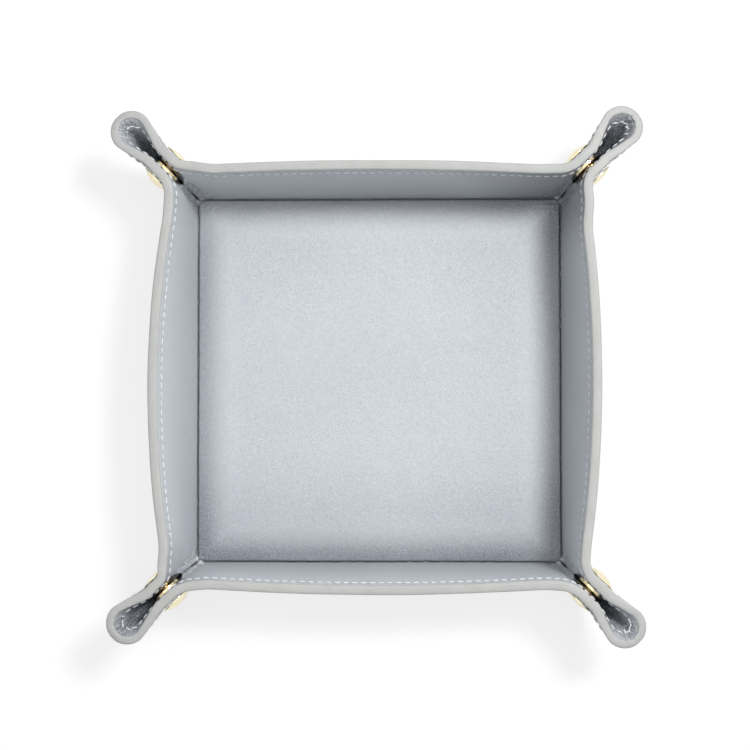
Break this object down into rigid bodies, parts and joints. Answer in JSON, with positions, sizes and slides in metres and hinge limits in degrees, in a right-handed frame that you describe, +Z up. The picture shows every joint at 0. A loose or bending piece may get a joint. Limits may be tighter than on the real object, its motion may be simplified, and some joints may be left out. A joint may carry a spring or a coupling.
{
  "type": "valet tray",
  "caption": "Square leather catch-all tray: a lined sheet whose walls turn up and are held by press-studs that pinch each corner into a loop; unsnapped, it opens almost flat.",
  "frame": {"origin": "centre of the base's underside, where the tray rests", "axes": "+Z up out of the tray's mouth, +Y towards the back wall (the picture's top), +X towards the right wall"},
  "size_m": [0.195, 0.195, 0.037],
  "materials": {
    "outer_leather": "satin silver-blue",
    "lining_leather": "satin silver-blue",
    "board": "matte",
    "brass": "polished pale gold"
  },
  "bodies": {
    "base": {"base_outer": "outer_leather", "base_board": "board", "base_lining": "lining_leather"},
    "wall_right": {"wall_right_outer": "outer_leather", "wall_right_board": "board", "wall_right_lining": "lining_leather"},
    "wall_back": {"wall_back_outer": "outer_leather", "wall_back_board": "board", "wall_back_lining": "lining_leather"},
    "wall_left": {"wall_left_outer": "outer_leather", "wall_left_board": "board", "wall_left_lining": "lining_leather"},
    "wall_front": {"wall_front_outer": "outer_leather", "wall_front_board": "board", "wall_front_lining": "lining_leather"},
    "flap_back_right_cap": {"snap_back_right_cap": "brass", "snap_back_right_socket": "brass"},
    "loop_back_right_cap": {"loop_back_right_cap_outer": "outer_leather", "loop_back_right_cap_lining": "lining_leather"},
    "flap_back_right_stud": {"snap_back_right_stud": "brass", "snap_back_right_post": "brass"},
    "loop_back_right_stud": {"loop_back_right_stud_outer": "outer_leather", "loop_back_right_stud_lining": "lining_leather"},
    "flap_back_left_cap": {"snap_back_left_cap": "brass", "snap_back_left_socket": "brass"},
    "loop_back_left_cap": {"loop_back_left_cap_outer": "outer_leather", "loop_back_left_cap_lining": "lining_leather"},
    "flap_back_left_stud": {"snap_back_left_stud": "brass", "snap_back_left_post": "brass"},
    "loop_back_left_stud": {"loop_back_left_stud_outer": "outer_leather", "loop_back_left_stud_lining": "lining_leather"},
    "flap_front_left_cap": {"snap_front_left_cap": "brass", "snap_front_left_socket": "brass"},
    "loop_front_left_cap": {"loop_front_left_cap_outer": "outer_leather", "loop_front_left_cap_lining": "lining_leather"},
    "flap_front_left_stud": {"snap_front_left_stud": "brass", "snap_front_left_post": "brass"},
    "loop_front_left_stud": {"loop_front_left_stud_outer": "outer_leather", "loop_front_left_stud_lining": "lining_leather"},
    "flap_front_right_cap": {"snap_front_right_cap": "brass", "snap_front_right_socket": "brass"},
    "loop_front_right_cap": {"loop_front_right_cap_outer": "outer_leather", "loop_front_right_cap_lining": "lining_leather"},
    "flap_front_right_stud": {"snap_front_right_stud": "brass", "snap_front_right_post": "brass"},
    "loop_front_right_stud": {"loop_front_right_stud_outer": "outer_leather", "loop_front_right_stud_lining": "lining_leather"}
  },
  "joints": [
    {"name": "walls_fold", "type": "hinge", "parent": "base", "child": "wall_right", "pos_m": [0.07171, 0, 0], "axis": [0, 1, 0], "range_deg": [0, 70]},
    {"name": "wall_back_fold", "type": "hinge", "parent": "base", "child": "wall_back", "pos_m": [0, 0.07171, 0], "axis": [-1, 0, 0], "range_deg": [0, 70]},
    {"name": "wall_left_fold", "type": "hinge", "parent": "base", "child": "wall_left", "pos_m": [-0.07171, 0, 0], "axis": [0, -1, 0], "range_deg": [0, 70]},
    {"name": "wall_front_fold", "type": "hinge", "parent": "base", "child": "wall_front", "pos_m": [0, -0.07171, 0], "axis": [1, 0, 0], "range_deg": [0, 70]},
    {"name": "flap_back_right_cap_turn", "type": "hinge", "parent": "wall_back", "child": "flap_back_right_cap", "pos_m": [0.06683, 0.07021, 0.0011], "axis": [-0.171, -0.1556, -0.9729], "range_deg": [0, 54.62]},
    {"name": "tip_back_right_cap_turn", "type": "hinge", "parent": "flap_back_right_cap", "child": "loop_back_right_cap", "pos_m": [0.06883, 0.07219, 0.00171], "axis": [0.4981, 0.5269, 0.6887], "range_deg": [0, 90.03], "deforming": ["loop_back_right_cap_outer", "loop_back_right_cap_lining"]},
    {"name": "flap_back_right_stud_turn", "type": "hinge", "parent": "wall_right", "child": "flap_back_right_stud", "pos_m": [0.07021, 0.06683, 0.0011], "axis": [0.1556, 0.171, 0.9729], "range_deg": [0, 54.62]},
    {"name": "tip_back_right_stud_turn", "type": "hinge", "parent": "flap_back_right_stud", "child": "loop_back_right_stud", "pos_m": [0.07219, 0.06883, 0.00171], "axis": [-0.5269, -0.4981, -0.6887], "range_deg": [0, 90.03], "deforming": ["loop_back_right_stud_outer", "loop_back_right_stud_lining"]},
    {"name": "flap_back_left_cap_turn", "type": "hinge", "parent": "wall_left", "child": "flap_back_left_cap", "pos_m": [-0.07021, 0.06683, 0.0011], "axis": [0.1556, -0.171, -0.9729], "range_deg": [0, 54.62]},
    {"name": "tip_back_left_cap_turn", "type": "hinge", "parent": "flap_back_left_cap", "child": "loop_back_left_cap", "pos_m": [-0.07219, 0.06883, 0.00171], "axis": [-0.5269, 0.4981, 0.6887], "range_deg": [0, 90.03], "deforming": ["loop_back_left_cap_outer", "loop_back_left_cap_lining"]},
    {"name": "flap_back_left_stud_turn", "type": "hinge", "parent": "wall_back", "child": "flap_back_left_stud", "pos_m": [-0.06683, 0.07021, 0.0011], "axis": [-0.171, 0.1556, 0.9729], "range_deg": [0, 54.62]},
    {"name": "tip_back_left_stud_turn", "type": "hinge", "parent": "flap_back_left_stud", "child": "loop_back_left_stud", "pos_m": [-0.06883, 0.07219, 0.00171], "axis": [0.4981, -0.5269, -0.6887], "range_deg": [0, 90.03], "deforming": ["loop_back_left_stud_outer", "loop_back_left_stud_lining"]},
    {"name": "flap_front_left_cap_turn", "type": "hinge", "parent": "wall_front", "child": "flap_front_left_cap", "pos_m": [-0.06683, -0.07021, 0.0011], "axis": [0.171, 0.1556, -0.9729], "range_deg": [0, 54.62]},
    {"name": "tip_front_left_cap_turn", "type": "hinge", "parent": "flap_front_left_cap", "child": "loop_front_left_cap", "pos_m": [-0.06883, -0.07219, 0.00171], "axis": [-0.4981, -0.5269, 0.6887], "range_deg": [0, 90.03], "deforming": ["loop_front_left_cap_outer", "loop_front_left_cap_lining"]},
    {"name": "flap_front_left_stud_turn", "type": "hinge", "parent": "wall_left", "child": "flap_front_left_stud", "pos_m": [-0.07021, -0.06683, 0.0011], "axis": [-0.1556, -0.171, 0.9729], "range_deg": [0, 54.62]},
    {"name": "tip_front_left_stud_turn", "type": "hinge", "parent": "flap_front_left_stud", "child": "loop_front_left_stud", "pos_m": [-0.07219, -0.06883, 0.00171], "axis": [0.5269, 0.4981, -0.6887], "range_deg": [0, 90.03], "deforming": ["loop_front_left_stud_outer", "loop_front_left_stud_lining"]},
    {"name": "flap_front_right_cap_turn", "type": "hinge", "parent": "wall_right", "child": "flap_front_right_cap", "pos_m": [0.07021, -0.06683, 0.0011], "axis": [-0.1556, 0.171, -0.9729], "range_deg": [0, 54.62]},
    {"name": "tip_front_right_cap_turn", "type": "hinge", "parent": "flap_front_right_cap", "child": "loop_front_right_cap", "pos_m": [0.07219, -0.06883, 0.00171], "axis": [0.5269, -0.4981, 0.6887], "range_deg": [0, 90.03], "deforming": ["loop_front_right_cap_outer", "loop_front_right_cap_lining"]},
    {"name": "flap_front_right_stud_turn", "type": "hinge", "parent": "wall_front", "child": "flap_front_right_stud", "pos_m": [0.06683, -0.07021, 0.0011], "axis": [0.171, -0.1556, 0.9729], "range_deg": [0, 54.62]},
    {"name": "tip_front_right_stud_turn", "type": "hinge", "parent": "flap_front_right_stud", "child": "loop_front_right_stud", "pos_m": [0.06883, -0.07219, 0.00171], "axis": [-0.4981, 0.5269, -0.6887], "range_deg": [0, 90.03], "deforming": ["loop_front_right_stud_outer", "loop_front_right_stud_lining"]}
  ],
  "couplings": [
    {"joint": "wall_back_fold", "follows": "walls_fold", "ratio": 1},
    {"joint": "wall_left_fold", "follows": "walls_fold", "ratio": 1},
    {"joint": "wall_front_fold", "follows": "walls_fold", "ratio": 1},
    {"joint": "flap_back_right_cap_turn", "follows": "walls_fold", "ratio": 0.78014},
    {"joint": "tip_back_right_cap_turn", "follows": "walls_fold", "ratio": 1.2861},
    {"joint": "flap_back_right_stud_turn", "follows": "walls_fold", "ratio": 0.78014},
    {"joint": "tip_back_right_stud_turn", "follows": "walls_fold", "ratio": 1.2861},
    {"joint": "flap_back_left_cap_turn", "follows": "walls_fold", "ratio": 0.78014},
    {"joint": "tip_back_left_cap_turn", "follows": "walls_fold", "ratio": 1.2861},
    {"joint": "flap_back_left_stud_turn", "follows": "walls_fold", "ratio": 0.78014},
    {"joint": "tip_back_left_stud_turn", "follows": "walls_fold", "ratio": 1.2861},
    {"joint": "flap_front_left_cap_turn", "follows": "walls_fold", "ratio": 0.78014},
    {"joint": "tip_front_left_cap_turn", "follows": "walls_fold", "ratio": 1.2861},
    {"joint": "flap_front_left_stud_turn", "follows": "walls_fold", "ratio": 0.78014},
    {"joint": "tip_front_left_stud_turn", "follows": "walls_fold", "ratio": 1.2861},
    {"joint": "flap_front_right_cap_turn", "follows": "walls_fold", "ratio": 0.78014},
    {"joint": "tip_front_right_cap_turn", "follows": "walls_fold", "ratio": 1.2861},
    {"joint": "flap_front_right_stud_turn", "follows": "walls_fold", "ratio": 0.78014},
    {"joint": "tip_front_right_stud_turn", "follows": "walls_fold", "ratio": 1.2861}
  ]
}
